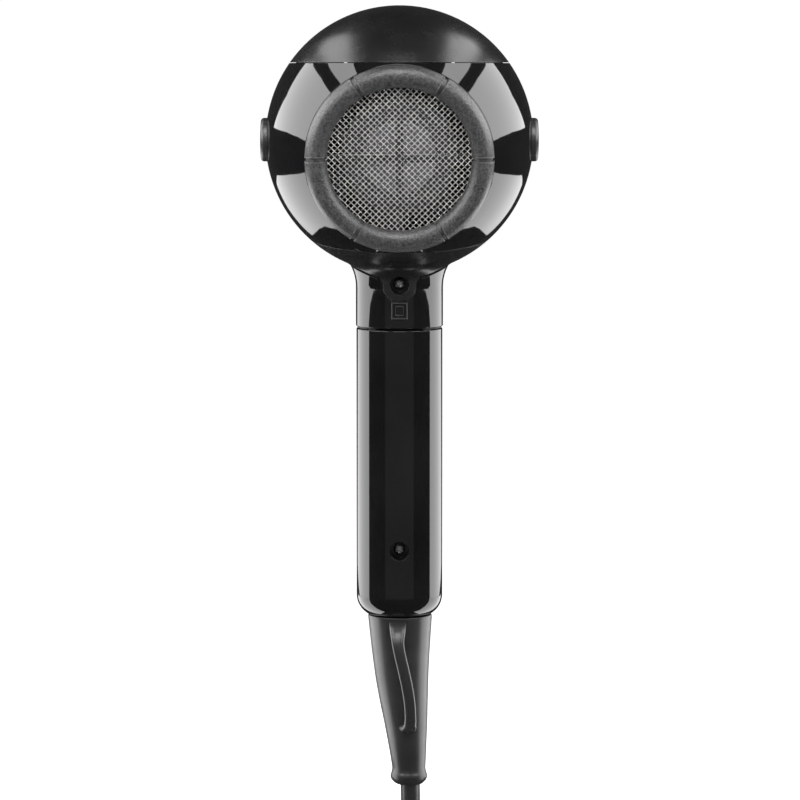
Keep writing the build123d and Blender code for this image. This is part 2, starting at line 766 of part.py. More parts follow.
with BuildPart() as handle_rear:
    add(grip_form.part)
    split(bisect_by=Plane.XZ, keep=Keep.TOP)
    grip_seat = -GRIP_R + WELL_DEPTH
    with BuildSketch(Plane.XZ.offset(-grip_seat - 1.3)):
        with Locations((0, GRIP_SCREW_Z)):
            Circle(WELL_R + 1.3)
    extrude(amount=WELL_DEPTH)
    with BuildSketch(Plane.XZ.offset(-grip_seat)):
        with Locations((0, GRIP_SCREW_Z)):
            Circle(WELL_R)
    extrude(amount=WELL_DEPTH + 2, mode=Mode.SUBTRACT)
    with BuildSketch(Plane.XZ.offset(-grip_seat - 2)):
        with Locations((0, GRIP_SCREW_Z)):
            Circle(1.3)
    extrude(amount=4, mode=Mode.SUBTRACT)
handle_rear.part.label = "handle_rear"
export_step(handle_rear.part, "parts/handle_rear.step")

with BuildPart() as handle_front:
    add(grip_form.part)
    split(bisect_by=Plane.XZ, keep=Keep.BOTTOM)
    for side in (-1, 1):
        with BuildSketch(Plane.YZ.offset(4.2 * side)):
            with Locations((HINGE_Y, HINGE_Z)):
                Circle(KNUCKLE_R)
            with Locations((HINGE_Y - 1.6, HINGE_Z - 3.2)):
                Rectangle(3.4, 5.2)
        extrude(amount=4.4 * side)
    with BuildSketch(Plane.YZ.offset(-4.2)):
        with Locations((HINGE_Y, HINGE_Z)):
            Circle(KNUCKLE_R + 0.2)
    extrude(amount=8.4, mode=Mode.SUBTRACT)
    with BuildSketch(Plane.YZ.offset(-10)):
        with Locations((HINGE_Y, HINGE_Z)):
            Circle(HINGE_PIN_R)
    extrude(amount=20, mode=Mode.SUBTRACT)
    with BuildSketch(facing_front(grip_seat + 1.4)):
        with Locations((0, GRIP_SCREW_Z)):
            Circle(3.0)
    extrude(amount=19)
    with BuildSketch(facing_front(-6)):
        with Locations((0, GRIP_SCREW_Z)):
            Circle(1.0)
    extrude(amount=12, mode=Mode.SUBTRACT)
    with BuildSketch(facing_front(-3.1)):
        with Locations((-6.5, -38), (6.5, -38)):
            Circle(2.6)
    extrude(amount=15.5)
    with BuildSketch(facing_front(-4)):
        with Locations((-6.5, -38), (6.5, -38)):
            Circle(1.0)
    extrude(amount=9, mode=Mode.SUBTRACT)
    with BuildSketch(facing_front(10)):
        with Locations((0, SPEED_Z + SPEED_TRAVEL / 2)):
            Rectangle(5.4, 6.6 + SPEED_TRAVEL)
        with Locations((0, COOL_Z)):
            Circle(4.4)
        with Locations((0, DIAL_Z)):
            Circle(5.2)
    extrude(amount=10, mode=Mode.SUBTRACT)
handle_front.part.label = "handle_front"
export_step(handle_front.part, "parts/handle_front.step")

# ---- controls on the front of the handle ----
with BuildPart() as speed_slider:
    with BuildSketch(facing_front(15.7)):
        with Locations((0, SPEED_Z)):
            RectangleRounded(9.0, 9.0, 1.5)
    extrude(amount=2.4)
    with BuildSketch(facing_front(17.5)):
        with Locations((0, SPEED_Z)):
            with GridLocations(0, 1.8, 1, 4):
                Rectangle(10, 0.7)
    extrude(amount=1, mode=Mode.SUBTRACT)
    with BuildSketch(facing_front(12.2)):
        with Locations((0, SPEED_Z)):
            Rectangle(5.0, 6.0)
    extrude(amount=3.6)
    with BuildSketch(facing_front(11.2)):
        with Locations((0, SPEED_Z)):
            Rectangle(8.4, 10.0)
    extrude(amount=1.1)
speed_slider.part.label = "speed_slider"
export_step(speed_slider.part, "parts/speed_slider.step")

with BuildPart() as speed_switch:
    with BuildSketch(facing_front(3.8)):
        with Locations((0, SPEED_Z + 4)):
            Rectangle(12, 28)
    extrude(amount=7.1)
speed_switch.part.label = "speed_switch"
export_step(speed_switch.part, "parts/speed_switch.step")

with BuildPart() as cool_button:
    with BuildSketch(facing_front(11.9)):
        with Locations((0, COOL_Z)):
            Circle(4.2)
    extrude(amount=5.1)
    fillet(cool_button.faces().sort_by(Axis.Y)[-1].edges(), 0.8)
    with BuildSketch(facing_front(10.9)):
        with Locations((0, COOL_Z)):
            Circle(5.4)
    extrude(amount=1.0)
cool_button.part.label = "cool_button"
export_step(cool_button.part, "parts/cool_button.step")

with BuildPart() as cool_switch:
    with BuildSketch(facing_front(3.8)):
        with Locations((0, COOL_Z)):
            Rectangle(7, 8)
    extrude(amount=4.6)
cool_switch.part.label = "cool_switch"
export_step(cool_switch.part, "parts/cool_switch.step")

with BuildPart() as voltage_dial:
    with BuildSketch(facing_front(10.4)):
        with Locations((0, DIAL_Z)):
            Circle(6.0)
    extrude(amount=1.1)
    with BuildSketch(facing_front(11.4)):
        with Locations((0, DIAL_Z)):
            Circle(5.0)
    extrude(amount=3.4)
    with BuildSketch(facing_front(8.2)):
        with Locations((0, DIAL_Z)):
            Circle(1.8)
    extrude(amount=2.4)
    with BuildSketch(facing_front(13.8)):
        with Locations((0, DIAL_Z)):
            Rectangle(1.1, 7.6)
    extrude(amount=2, mode=Mode.SUBTRACT)
voltage_dial.part.label = "voltage_dial"
export_step(voltage_dial.part, "parts/voltage_dial.step")

with BuildPart() as voltage_switch:
    with BuildSketch(facing_front(3.8)):
        with Locations((0, DIAL_Z)):
            Rectangle(12, 12)
    extrude(amount=4.2)
voltage_switch.part.label = "voltage_switch"
export_step(voltage_switch.part, "parts/voltage_switch.step")

with BuildPart() as circuit_board:
    with BuildSketch(facing_front(2.1)):
        with Locations((0, 13)):
            Rectangle(21, 62)
    extrude(amount=1.6)
circuit_board.part.label = "circuit_board"
export_step(circuit_board.part, "parts/circuit_board.step")

with BuildPart() as suppressor_capacitor:
    with BuildSketch(Plane.XZ.offset(-2.0)):
        with Locations((0, 6)):
            RectangleRounded(13, 18, 1)
    extrude(amount=9)
suppressor_capacitor.part.label = "suppressor_capacitor"
export_step(suppressor_capacitor.part, "parts/suppressor_capacitor.step")

with BuildPart() as cord_clamp:
    with BuildSketch(facing_front(-7.6)):
        with Locations((0, -38)):
            RectangleRounded(18, 6, 1.2)
            with Locations((-6.5, 0), (6.5, 0)):
                Circle(1.3, mode=Mode.SUBTRACT)
    extrude(amount=4.0)
cord_clamp.part.label = "cord_clamp"
export_step(cord_clamp.part, "parts/cord_clamp.step")

with BuildPart() as clamp_screws:
    with BuildSketch(Plane.XZ.offset(7.65)):
        with Locations((-6.5, -38), (6.5, -38)):
            Circle(1.9)
    extrude(amount=1.4)
    with BuildSketch(facing_front(-7.7)):
        with Locations((-6.5, -38), (6.5, -38)):
            Circle(1.0)
    extrude(amount=11)
clamp_screws.part.label = "clamp_screws"
export_step(clamp_screws.part, "parts/clamp_screws.step")

with BuildPart() as cord_inner:
    with BuildSketch(Plane.XY.offset(-47.35)):
        Circle(CORD_R)
    extrude(amount=16.5)
cord_inner.part.label = "cord_inner"
export_step(cord_inner.part, "parts/cord_inner.step")

with BuildPart() as handle_wires:
    with BuildSketch(Plane.XY.offset(-30.5)):
        with Locations((-4.6, -1.2), (4.6, -1.2)):
            Circle(1.1)
    extrude(amount=24)
    with BuildSketch(Plane.XY.offset(18)):
        with Locations((-3.6, -1.6), (0, -1.6), (3.6, -1.6)):
            Circle(1.1)
    extrude(amount=34)
handle_wires.part.label = "handle_wires"
export_step(handle_wires.part, "parts/handle_wires.step")

with BuildPart() as head_wires:
    with BuildSketch(Plane.XY.offset(NECK_BOTTOM + 2.4)):
        with Locations((-5.4, -1.6), (5.4, -1.6)):
            Circle(1.1)
    extrude(amount=28)
head_wires.part.label = "head_wires"
export_step(head_wires.part, "parts/head_wires.step")

# ---- strain relief boot with its hanging loop ----
# Each station: height, sideways centre, radius. The rubber leans to one side.
boot_stations = (
    (BOOT_TOP, 0.2, 11.55),
    (-60.0, 0.36, 10.85),
    (-68.5, 0.62, 10.1),
    (-76.0, 1.0, 9.42),
    (-84.0, 1.65, 8.6),
    (-91.0, 2.28, 7.8),
    (-100.0, 2.95, 6.78),
    (BEAD_TOP, BEAD_X, BEAD_NECK_R),
)
RIM_R = 10.9  # the rim stands up outside this radius
BOOT_FLOOR = GRIP_BOTTOM - 0.15
PLUG_IN_R = 7.0  # stem through the hole in the end of the grip
FLANGE_R = 9.2  # flange that holds the stem inside the grip
FLANGE_Z = -48.9
FLANGE_T = 1.5

LOOP_TOP = -53.6
LOOP_END = -92.4
LOOP_LEAN = 4.5  # sideways shift from its upper to its lower end
LOOP_OUT = 18.8  # outside of the loop behind the boot axis
LOOP_THICK = 2.0
LOOP_WIDTH = 4.2
loop_face = LOOP_OUT - LOOP_THICK / 2
loop_drop = LOOP_TOP - LOOP_END
loop_run = hypot(LOOP_LEAN, loop_drop)
# The loop leans with the boot: local x runs down the strip, local y towards the rear.
loop_plane = Plane(
    origin=(-0.6, 0, LOOP_TOP), x_dir=(LOOP_LEAN, 0, -loop_drop), z_dir=(-loop_drop, 0, -LOOP_LEAN)
)
with BuildPart() as loop_strip:
    with BuildSketch(loop_plane):
        side_y = 1 if loop_plane.y_dir.Y < 0 else -1
        with BuildLine():
            centre = FilletPolyline(
                (LOOP_THICK / 2, 8.0 * side_y),
                (LOOP_THICK / 2, loop_face * side_y),
                (loop_run - LOOP_THICK / 2, (loop_face - 2.0) * side_y),
                (loop_run - LOOP_THICK / 2, 5.5 * side_y),
                radius=4.0,
            )
        trace(centre, line_width=LOOP_THICK)
    extrude(amount=LOOP_WIDTH / 2, both=True)

with BuildPart() as cord_boot:
    for height, lean, radius in boot_stations:
        with BuildSketch(Plane.XY.offset(height)):
            with Locations((lean, 0)):
                Circle(radius)
    loft()
    with BuildSketch(Plane.XY.offset(BOOT_FLOOR)):
        Circle(RIM_R)
    extrude(amount=BOOT_TOP - BOOT_FLOOR + 0.5, mode=Mode.SUBTRACT)
    with BuildSketch(Plane(origin=(BEAD_X, 0, 0), x_dir=(1, 0, 0), z_dir=(0, -1, 0))):
        with BuildLine():
            bead_root = Polyline((0, -105.5), (5.6, -105.5), (BEAD_NECK_R, BEAD_TOP))
            bead = Spline(
                bead_root @ 1, (6.7, -110.5), (5.75, -112.5), (4.1, BOOT_END), tangents=[(0, -1), (-1, 0)]
            )
            Polyline(bead @ 1, (0, BOOT_END), (0, -105.5))
        make_face()
    revolve(axis=Axis((BEAD_X, 0, 0), (0, 0, 1)))
    with BuildSketch(Plane.XY.offset(BOOT_FLOOR - 0.05)):
        Circle(PLUG_IN_R)
    extrude(amount=FLANGE_Z - BOOT_FLOOR + 0.75)
    with BuildSketch(Plane.XY.offset(FLANGE_Z)):
        Circle(FLANGE_R)
    extrude(amount=FLANGE_T)
    add(loop_strip.part)
cord_boot.part.label = "cord_boot"
export_step(cord_boot.part, "parts/cord_boot.step")

# ---- free cord, put away in a coil on the surface below ----
HEADING = 60.0  # degrees from +X, the way the cord runs off along the surface
COIL_TURN_R = 51.8  # outermost turn
COIL_IN = 25.6
COIL_OUT = 55.6
TIE_T = 0.8
COIL_BOTTOM = FLOOR_Z + TIE_T
lying_z = COIL_BOTTOM + CORD_R
heading = Vector(cos(radians(HEADING)), sin(radians(HEADING)), 0)
cord_route = [(0, BOOT_END), (0, -142), (24, -167), (50, lying_z), (63, lying_z)]  # run, height
route_points = [Vector(CORD_X, 0, z) + heading * out for out, z in cord_route]
entry = route_points[-1]
coil_centre = entry + Vector(-sin(radians(HEADING)), cos(radians(HEADING)), 0) * COIL_TURN_R


def corner_radii(points):
    """0.45 of the shorter run beside each corner, divided by the tangent of half its turn."""
    radii = []
    for before, corner, after in zip(points, points[1:], points[2:]):
        run_in = corner - before
        run_out = after - corner
        turn = radians(run_in.get_angle(run_out))
        radii.append(0.45 * min(run_in.length, run_out.length) / tan(turn / 2))
    return radii


radii = corner_radii(route_points)
with BuildPart() as cord:
    with BuildLine():
        path = FilletPolyline(*route_points, radius=radii)
    with BuildSketch(Plane(origin=path @ 0, z_dir=path % 0)):
        Circle(CORD_R)
    sweep(path=path)
cord.part.label = "cord"
export_step(cord.part, "parts/cord.step")
print("cord radii", [round(r, 1) for r in radii], "length", round(path.length, 1))
print("coil centre", coil_centre)

with BuildPart() as cord_coil:
    with BuildSketch(Plane.XY.offset(COIL_BOTTOM)):
        with Locations((coil_centre.X, coil_centre.Y)):
            Circle(COIL_OUT)
            Circle(COIL_IN, mode=Mode.SUBTRACT)
    extrude(amount=4 * CORD_R)
    fillet(cord_coil.edges().filter_by(GeomType.CIRCLE), 3.0)
cord_coil.part.label = "cord_coil"
export_step(cord_coil.part, "parts/cord_coil.step")

TIE_SLACK = 0.8  # free space between the strap and the inner turns
tie_middle = coil_centre - Vector(0, (COIL_IN + COIL_OUT - TIE_SLACK) / 2, 0)
tie_span = COIL_OUT - COIL_IN + TIE_SLACK + 0.6
with BuildPart() as cord_tie:
    with BuildSketch(Plane(origin=(tie_middle.X - 6, tie_middle.Y, 0), x_dir=(0, 1, 0), z_dir=(1, 0, 0))):
        with Locations((0, COIL_BOTTOM + 2 * CORD_R)):
            RectangleRounded(tie_span + 2 * TIE_T, 4 * CORD_R + 2 * TIE_T, 2.4)
            RectangleRounded(tie_span, 4 * CORD_R, 1.6, mode=Mode.SUBTRACT)
    extrude(amount=12)
cord_tie.part.label = "cord_tie"
export_step(cord_tie.part, "parts/cord_tie.step")

# ---- two-pin plug beside the coil ----
PLUG_HALF = 6.85  # half the thickness of the flat plug body
PIN_PITCH = 18.6
tail_start = Vector(coil_centre.X - 14, coil_centre.Y + COIL_TURN_R, FLOOR_Z + PLUG_HALF)
tail_end = tail_start - Vector(24, 0, 0)
with BuildPart() as cord_tail:
    with BuildSketch(Plane(origin=tail_start, z_dir=tail_end - tail_start)):
        Circle(CORD_R)
    extrude(amount=(tail_end - tail_start).length)
cord_tail.part.label = "cord_tail"
export_step(cord_tail.part, "parts/cord_tail.step")


def plug_plane(distance):
    """Plane across the plug, this far beyond the end of the cord, facing the pins."""
    return Plane(origin=tail_end - Vector(distance, 0, 0), x_dir=(0, 1, 0), z_dir=(-1, 0, 0))


with BuildPart() as plug_body:
    for distance, radius in ((0, 4.3), (18, 5.6)):
        with BuildSketch(plug_plane(distance)):
            Circle(radius)
    loft()
    with BuildSketch(Plane(origin=tail_end, x_dir=(0, -1, 0), z_dir=(0, 0, 1))):
        with BuildLine():
            Polyline(
                (-5.6, -16), (5.6, -16), (17.5, -31), (17.5, -44), (13, -51), (-13, -51), (-17.5, -44),
                (-17.5, -31), close=True,
            )
        make_face()
    extrude(amount=PLUG_HALF, both=True)
    fillet(plug_body.edges().filter_by(Axis.Z), 2.0)
    with BuildSketch(plug_plane(45)):
        with Locations((-PIN_PITCH / 2, 0), (PIN_PITCH / 2, 0)):
            Circle(1.8)
    extrude(amount=10, mode=Mode.SUBTRACT)
plug_body.part.label = "plug_body"
export_step(plug_body.part, "parts/plug_body.step")

with BuildPart() as plug_pins:
    with BuildSketch(plug_plane(45)):
        with Locations((-PIN_PITCH / 2, 0), (PIN_PITCH / 2, 0)):
            Circle(1.8)
    extrude(amount=6.1)
    with BuildSketch(plug_plane(51.05)):
        with Locations((-PIN_PITCH / 2, 0), (PIN_PITCH / 2, 0)):
            Circle(2.0)
    extrude(amount=19)
    fillet(plug_pins.faces().filter_by(Axis.X).sort_by(Axis.X)[:2].edges(), 1.0)
plug_pins.part.label = "plug_pins"
export_step(plug_pins.part, "parts/plug_pins.step")
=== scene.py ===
import math

import bpy
import numpy as np
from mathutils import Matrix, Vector


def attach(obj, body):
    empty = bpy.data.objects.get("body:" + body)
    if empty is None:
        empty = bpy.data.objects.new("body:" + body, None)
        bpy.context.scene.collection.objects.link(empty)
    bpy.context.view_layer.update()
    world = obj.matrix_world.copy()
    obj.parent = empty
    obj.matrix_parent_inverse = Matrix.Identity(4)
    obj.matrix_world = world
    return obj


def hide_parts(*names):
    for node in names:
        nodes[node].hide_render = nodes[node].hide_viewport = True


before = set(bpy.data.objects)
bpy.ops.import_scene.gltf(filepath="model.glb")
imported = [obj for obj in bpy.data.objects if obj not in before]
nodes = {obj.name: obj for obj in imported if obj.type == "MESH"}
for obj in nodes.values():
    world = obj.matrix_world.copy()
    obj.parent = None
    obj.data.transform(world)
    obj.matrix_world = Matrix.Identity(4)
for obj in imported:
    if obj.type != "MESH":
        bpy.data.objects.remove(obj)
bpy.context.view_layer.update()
scene = bpy.context.scene
# The studio is lit for plain display tones: the backdrop is white and the blacks stay deep.
scene.view_settings.view_transform = "Standard"

# ---- camera: level behind the dryer, a little above it ----
camera_data = bpy.data.cameras.new("camera")
camera_data.sensor_width = 36
camera_data.lens = 215
camera_data.clip_end = 100
camera = bpy.data.objects.new("camera", camera_data)
camera.location = (0, -1.712, 0.194)
camera_target = Vector((0.0002, 0, 0.0263))
camera.rotation_euler = (camera_target - camera.location).to_track_quat("-Z", "Y").to_euler()
scene.collection.objects.link(camera)
scene.camera = camera

# ---- the free cord: one smooth line from the boot to the plug ----
MM = 0.001
CORD_D = 7.0 * MM
ROUTE = (
    (3.9, 0, -113.6),
    (3.9, 0, -142),
    (15.9, 20.785, -167),
    (28.9, 43.301, -175),
    (35.4, 54.56, -175),
)
COIL_X, COIL_Y = -9.46, 80.46
COIL_OUTER = 51.8
PITCH = 7.06  # from one turn to the next
LAYER_TURNS = 3.1667  # turns inwards on the floor, then as many outwards on top of them
POINTS_PER_TURN = 24
LOW_Z = -175.0
HIGH_Z = LOW_Z + 7.02
PLUG_Z = -172.45
COIL_START = math.radians(-30)
CLIMB_LEAD, CLIMB_SPAN = 0.12, 0.29  # turns taken to climb onto the upper layer


def ease(t):
    t = min(max(t, 0.0), 1.0)
    return t * t * (3 - 2 * t)


cord_points = list(ROUTE)
turn_count = 2 * LAYER_TURNS
point_count = round(turn_count * POINTS_PER_TURN)
# A quadratic line of n points a turn runs inside them by this share.
outset = 2 / (1 + math.cos(2 * math.pi / POINTS_PER_TURN / 2))
for i in range(1, point_count + 1):
    turns = turn_count * i / point_count
    angle = COIL_START + 2 * math.pi * turns
    radius = COIL_OUTER - PITCH * (LAYER_TURNS - abs(LAYER_TURNS - turns))
    height = LOW_Z + (HIGH_Z - LOW_Z) * ease((turns - LAYER_TURNS + CLIMB_LEAD) / CLIMB_SPAN)
    radius *= outset
    cord_points.append(
        (COIL_X + radius * math.cos(angle), COIL_Y + radius * math.sin(angle), height)
    )
tail_y = COIL_Y + COIL_OUTER
# The end leaves the coil straight towards the plug: distance along it, height.
for along_tail, height in ((12, HIGH_Z - 0.4), (21, PLUG_Z + 1.2), (31, PLUG_Z), (43, PLUG_Z)):
    cord_points.append((COIL_X - along_tail, tail_y, height))
cord_curve = bpy.data.curves.new("power_cord", "CURVE")
cord_curve.dimensions = "3D"
cord_curve.resolution_u = 6
cord_curve.bevel_depth = 1.0  # times each point's radius
cord_curve.bevel_resolution = 6
cord_curve.use_fill_caps = True
spline = cord_curve.splines.new("NURBS")
spline.points.add(len(cord_points) - 1)
for point, place in zip(spline.points, cord_points):
    point.co = (place[0] * MM, place[1] * MM, place[2] * MM, 1)
    point.radius = CORD_D / 2
spline.order_u = 3
spline.use_endpoint_u = True
power_cord = bpy.data.objects.new("power_cord", cord_curve)
scene.collection.objects.link(power_cord)
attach(power_cord, "handle")
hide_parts("cord", "cord_coil", "cord_tail")


# ---- materials: every one is built from object-space noise, so that it holds in any view ----
def link(tree, source, output, target, entry):
    tree.links.new(source.outputs[output], target.inputs[entry])


def node_of(tree, kind, **settings):
    made = tree.nodes.new(kind)
    for key, value in settings.items():
        if key in made.inputs:
            made.inputs[key].default_value = value
        else:
            setattr(made, key, value)
    return made


def noise_map(tree, scale, detail=3.0, rough=0.55, stretch=None):
    """Noise over the object's own coordinates; scale is waves per metre."""
    place = tree.nodes.new("ShaderNodeTexCoord")
    made = tree.nodes.new("ShaderNodeTexNoise")
    made.inputs["Scale"].default_value = scale
    made.inputs["Detail"].default_value = detail
    made.inputs["Roughness"].default_value = rough
    if stretch:
        mapping = tree.nodes.new("ShaderNodeMapping")
        mapping.inputs["Scale"].default_value = stretch
        link(tree, place, "Object", mapping, "Vector")
        link(tree, mapping, "Vector", made, "Vector")
    else:
        link(tree, place, "Object", made, "Vector")
    return made


def ramp_of(tree, source, output, low, high, start=0.0, end=1.0):
    """Maps a grey source between two values or two colours."""
    made = tree.nodes.new("ShaderNodeValToRGB")
    made.color_ramp.elements[0].position = start
    made.color_ramp.elements[1].position = end
    for element, value in zip(made.color_ramp.elements, (low, high)):
        element.color = (value, value, value, 1) if isinstance(value, float) else (*value, 1)
    link(tree, source, output, made, "Fac")
    return made


def plain_material(name):
    material = bpy.data.materials.new(name)
    material.use_nodes = True
    return material, material.node_tree, material.node_tree.nodes["Principled BSDF"]


def moulded(
    name,
    dark,
    light,
    smooth,
    rough,
    grain=900.0,
    grain_depth=0.00002,
    swirl=0.0,
    colour_scale=60.0,
    metallic=0.0,
    ior=1.5,
    coat=0.0,
    stretch=None,
    wear=None,
    edge=None,
):
    """Plastic, rubber, paint or metal: two tones, two roughnesses, a fine grain and a broad swirl."""
    material, tree, shader = plain_material(name)
    shader.inputs["Metallic"].default_value = metallic
    shader.inputs["IOR"].default_value = ior
    shader.inputs["Coat Weight"].default_value = coat
    tones = noise_map(tree, colour_scale, 4.0)
    colour = ramp_of(tree, tones, "Fac", dark, light, 0.35, 0.65)
    if wear:
        edges = tree.nodes.new("ShaderNodeNewGeometry")
        rub = ramp_of(tree, edges, "Pointiness", 0.0, 1.0, 0.53, 0.6)
        mix = tree.nodes.new("ShaderNodeMix")
        mix.data_type = "RGBA"
        link(tree, rub, "Color", mix, "Factor")
        link(tree, colour, "Color", mix, "A")
        mix.inputs["B"].default_value = (*wear, 1)
        tree.links.new(mix.outputs["Result"], shader.inputs["Base Color"])
    else:
        link(tree, colour, "Color", shader, "Base Color")
    patches = noise_map(tree, colour_scale * 2.3, 5.0, 0.6, stretch)
    roughness = ramp_of(tree, patches, "Fac", smooth, rough, 0.3, 0.7)
    link(tree, roughness, "Color", shader, "Roughness")
    fine = noise_map(tree, grain, 2.0, 0.5, stretch)
    bump = tree.nodes.new("ShaderNodeBump")
    bump.inputs["Strength"].default_value = 1.0
    bump.inputs["Distance"].default_value = grain_depth
    link(tree, fine, "Fac", bump, "Height")
    if edge:
        rounding = tree.nodes.new("ShaderNodeBevel")
        rounding.samples = 4
        rounding.inputs["Radius"].default_value = edge
        link(tree, rounding, "Normal", bump, "Normal")
    if swirl:
        broad = noise_map(tree, 90.0, 1.0)
        second = tree.nodes.new("ShaderNodeBump")
        second.inputs["Strength"].default_value = 1.0
        second.inputs["Distance"].default_value = swirl
        link(tree, broad, "Fac", second, "Height")
        link(tree, bump, "Normal", second, "Normal")
        bump = second
    link(tree, bump, "Normal", shader, "Normal")
    return material


finish_of = {
    "gloss_black": moulded(
        "gloss_black", (0.0025, 0.0025, 0.0027), (0.004, 0.004, 0.0042), 0.03, 0.06,
        grain=2600.0, grain_depth=0.0000003, colour_scale=40.0, edge=0.00025,
    ),
    "soft_touch_black": moulded(
        "soft_touch_black", (0.003, 0.003, 0.0031), (0.005, 0.005, 0.0052), 0.22, 0.3,
        grain=3600.0, grain_depth=0.0000012, colour_scale=50.0, edge=0.00025,
    ),
    "grained_black": moulded(
        "grained_black", (0.005, 0.005, 0.005), (0.04, 0.04, 0.04), 0.3, 0.46,
        grain=1500.0, grain_depth=0.00016, colour_scale=1500.0, edge=0.0001,
    ),
    "moulded_black": moulded(
        "moulded_black", (0.008, 0.008, 0.008), (0.014, 0.014, 0.014), 0.35, 0.5,
        grain=2400.0, grain_depth=0.00002,
    ),
    "rubber_black": moulded(
        "rubber_black", (0.008, 0.008, 0.008), (0.013, 0.013, 0.013), 0.32, 0.4,
        grain=2600.0, grain_depth=0.000004, colour_scale=90.0,
    ),
    "cord_black": moulded(
        "cord_black", (0.009, 0.009, 0.009), (0.015, 0.015, 0.015), 0.32, 0.42,
        grain=1800.0, grain_depth=0.000004, colour_scale=90.0,
    ),
    "plug_black": moulded(
        "plug_black", (0.011, 0.011, 0.011), (0.02, 0.02, 0.02), 0.34, 0.48,
        grain=1600.0, grain_depth=0.00003, wear=(0.03, 0.03, 0.03),
    ),
    "mesh_steel": moulded(
        "mesh_steel", (0.44, 0.44, 0.436), (0.6, 0.6, 0.59), 0.24, 0.33,
        grain=4000.0, grain_depth=0.000004, colour_scale=300.0, metallic=1.0,
    ),
    "screw_steel": moulded(
        "screw_steel", (0.7, 0.7, 0.69), (0.92, 0.92, 0.91), 0.2, 0.34,
        grain=3000.0, grain_depth=0.00001, metallic=1.0, colour_scale=500.0,
    ),
    "pin_nickel": moulded(
        "pin_nickel", (0.6, 0.58, 0.54), (0.7, 0.68, 0.64), 0.18, 0.3,
        grain=2500.0, grain_depth=0.00001, metallic=1.0, stretch=(0.2, 3.0, 3.0),
    ),
    "motor_steel": moulded(
        "motor_steel", (0.36, 0.36, 0.37), (0.5, 0.5, 0.5), 0.28, 0.42,
        grain=1800.0, grain_depth=0.00002, metallic=1.0,
    ),
    "core_steel": moulded(
        "core_steel", (0.2, 0.2, 0.21), (0.33, 0.33, 0.33), 0.35, 0.55,
        grain=2600.0, grain_depth=0.00004, metallic=1.0, stretch=(1.0, 8.0, 1.0),
    ),
    "magnet_grey": moulded(
        "magnet_grey", (0.05, 0.05, 0.055), (0.09, 0.09, 0.095), 0.5, 0.7,
        grain=1400.0, grain_depth=0.00008,
    ),
    "copper": moulded(
        "copper", (0.55, 0.24, 0.12), (0.75, 0.38, 0.22), 0.22, 0.4,
        grain=2200.0, grain_depth=0.00002, metallic=1.0,
    ),
    "fan_grey": moulded(
        "fan_grey", (0.012, 0.012, 0.0123), (0.02, 0.02, 0.0204), 0.4, 0.55,
        grain=1400.0, grain_depth=0.00003, colour_scale=120.0,
    ),
    "control_grey": moulded(
        "control_grey", (0.09, 0.09, 0.095), (0.13, 0.13, 0.135), 0.35, 0.5,
        grain=2000.0, grain_depth=0.00003, wear=(0.2, 0.2, 0.2),
    ),
    "mica": moulded(
        "mica", (0.36, 0.31, 0.22), (0.62, 0.56, 0.42), 0.25, 0.5,
        grain=700.0, grain_depth=0.00005, colour_scale=220.0,
    ),
    "heater_wire": moulded(
        "heater_wire", (0.2, 0.18, 0.17), (0.38, 0.34, 0.31), 0.3, 0.5,
        grain=2500.0, grain_depth=0.00002, metallic=1.0, colour_scale=300.0,
    ),
    "fuse_white": moulded(
        "fuse_white", (0.6, 0.6, 0.57), (0.75, 0.75, 0.72), 0.35, 0.5, grain=1600.0,
    ),
    "board_green": moulded(
        "board_green", (0.008, 0.07, 0.03), (0.015, 0.13, 0.055), 0.25, 0.4, grain=900.0,
    ),
    "capacitor_yellow": moulded(
        "capacitor_yellow", (0.6, 0.36, 0.03), (0.75, 0.48, 0.06), 0.3, 0.45, grain=900.0,
    ),
    "wire_black": moulded(
        "wire_black", (0.009, 0.009, 0.009), (0.016, 0.016, 0.016), 0.35, 0.5, grain=1500.0,
    ),
    "strap_black": moulded(
        "strap_black", (0.012, 0.012, 0.013), (0.03, 0.03, 0.032), 0.65, 0.85,
        grain=1900.0, grain_depth=0.00025, colour_scale=900.0, stretch=(1.0, 1.0, 1.0),
    ),
}
for cad_node in nodes.values():
    for material_slot in cad_node.material_slots:
        material_slot.material = finish_of[material_slot.material.name.split(".")[0]]
power_cord.data.materials.append(finish_of["cord_black"])

# ---- frames of the barrel ----
TILT = math.radians(7.0)
forward = Vector((0, math.cos(TILT), math.sin(TILT)))
upward = Vector((0, -math.sin(TILT), math.cos(TILT)))
right = Vector((1, 0, 0))
BALL_Z = 120  # millimetres above the origin
ball_centre = Vector((0, 0, BALL_Z * MM))
intake_mm = (ball_centre - upward * MM) / MM


def around(turn):
    """Direction across the intake axis, turned from the right side upwards."""
    return right * math.cos(turn) + upward * math.sin(turn)


def mesh_piece(name, vertices, faces, material, body, smooth=True):
    """A new piece from points in millimetres and faces."""
    data = bpy.data.meshes.new(name)
    data.from_pydata([Vector(v) * MM for v in vertices], [], faces)
    data.materials.append(material)
    if smooth:
        data.polygons.foreach_set("use_smooth", [True] * len(data.polygons))
    data.validate()
    made = bpy.data.objects.new(name, data)
    scene.collection.objects.link(made)
    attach(made, body)
    return made


def skin(faces, first, rings, sides, flipped=False):
    """Joins rings of points, each closed on itself, into a skin of quads."""
    for ring in range(rings - 1):
        for s in range(sides):
            a = first + ring * sides + s
            b = first + ring * sides + (s + 1) % sides
            quad = (a, a + sides, b + sides, b) if flipped else (a, b, b + sides, a + sides)
            faces.append(quad)


def bar(faces, first, rings):
    """Closes rings of four points into a bar with two ends."""
    skin(faces, first, rings, 4)
    faces.append(tuple(first + j for j in (3, 2, 1, 0)))
    faces.append(tuple(first + (rings - 1) * 4 + j for j in range(4)))


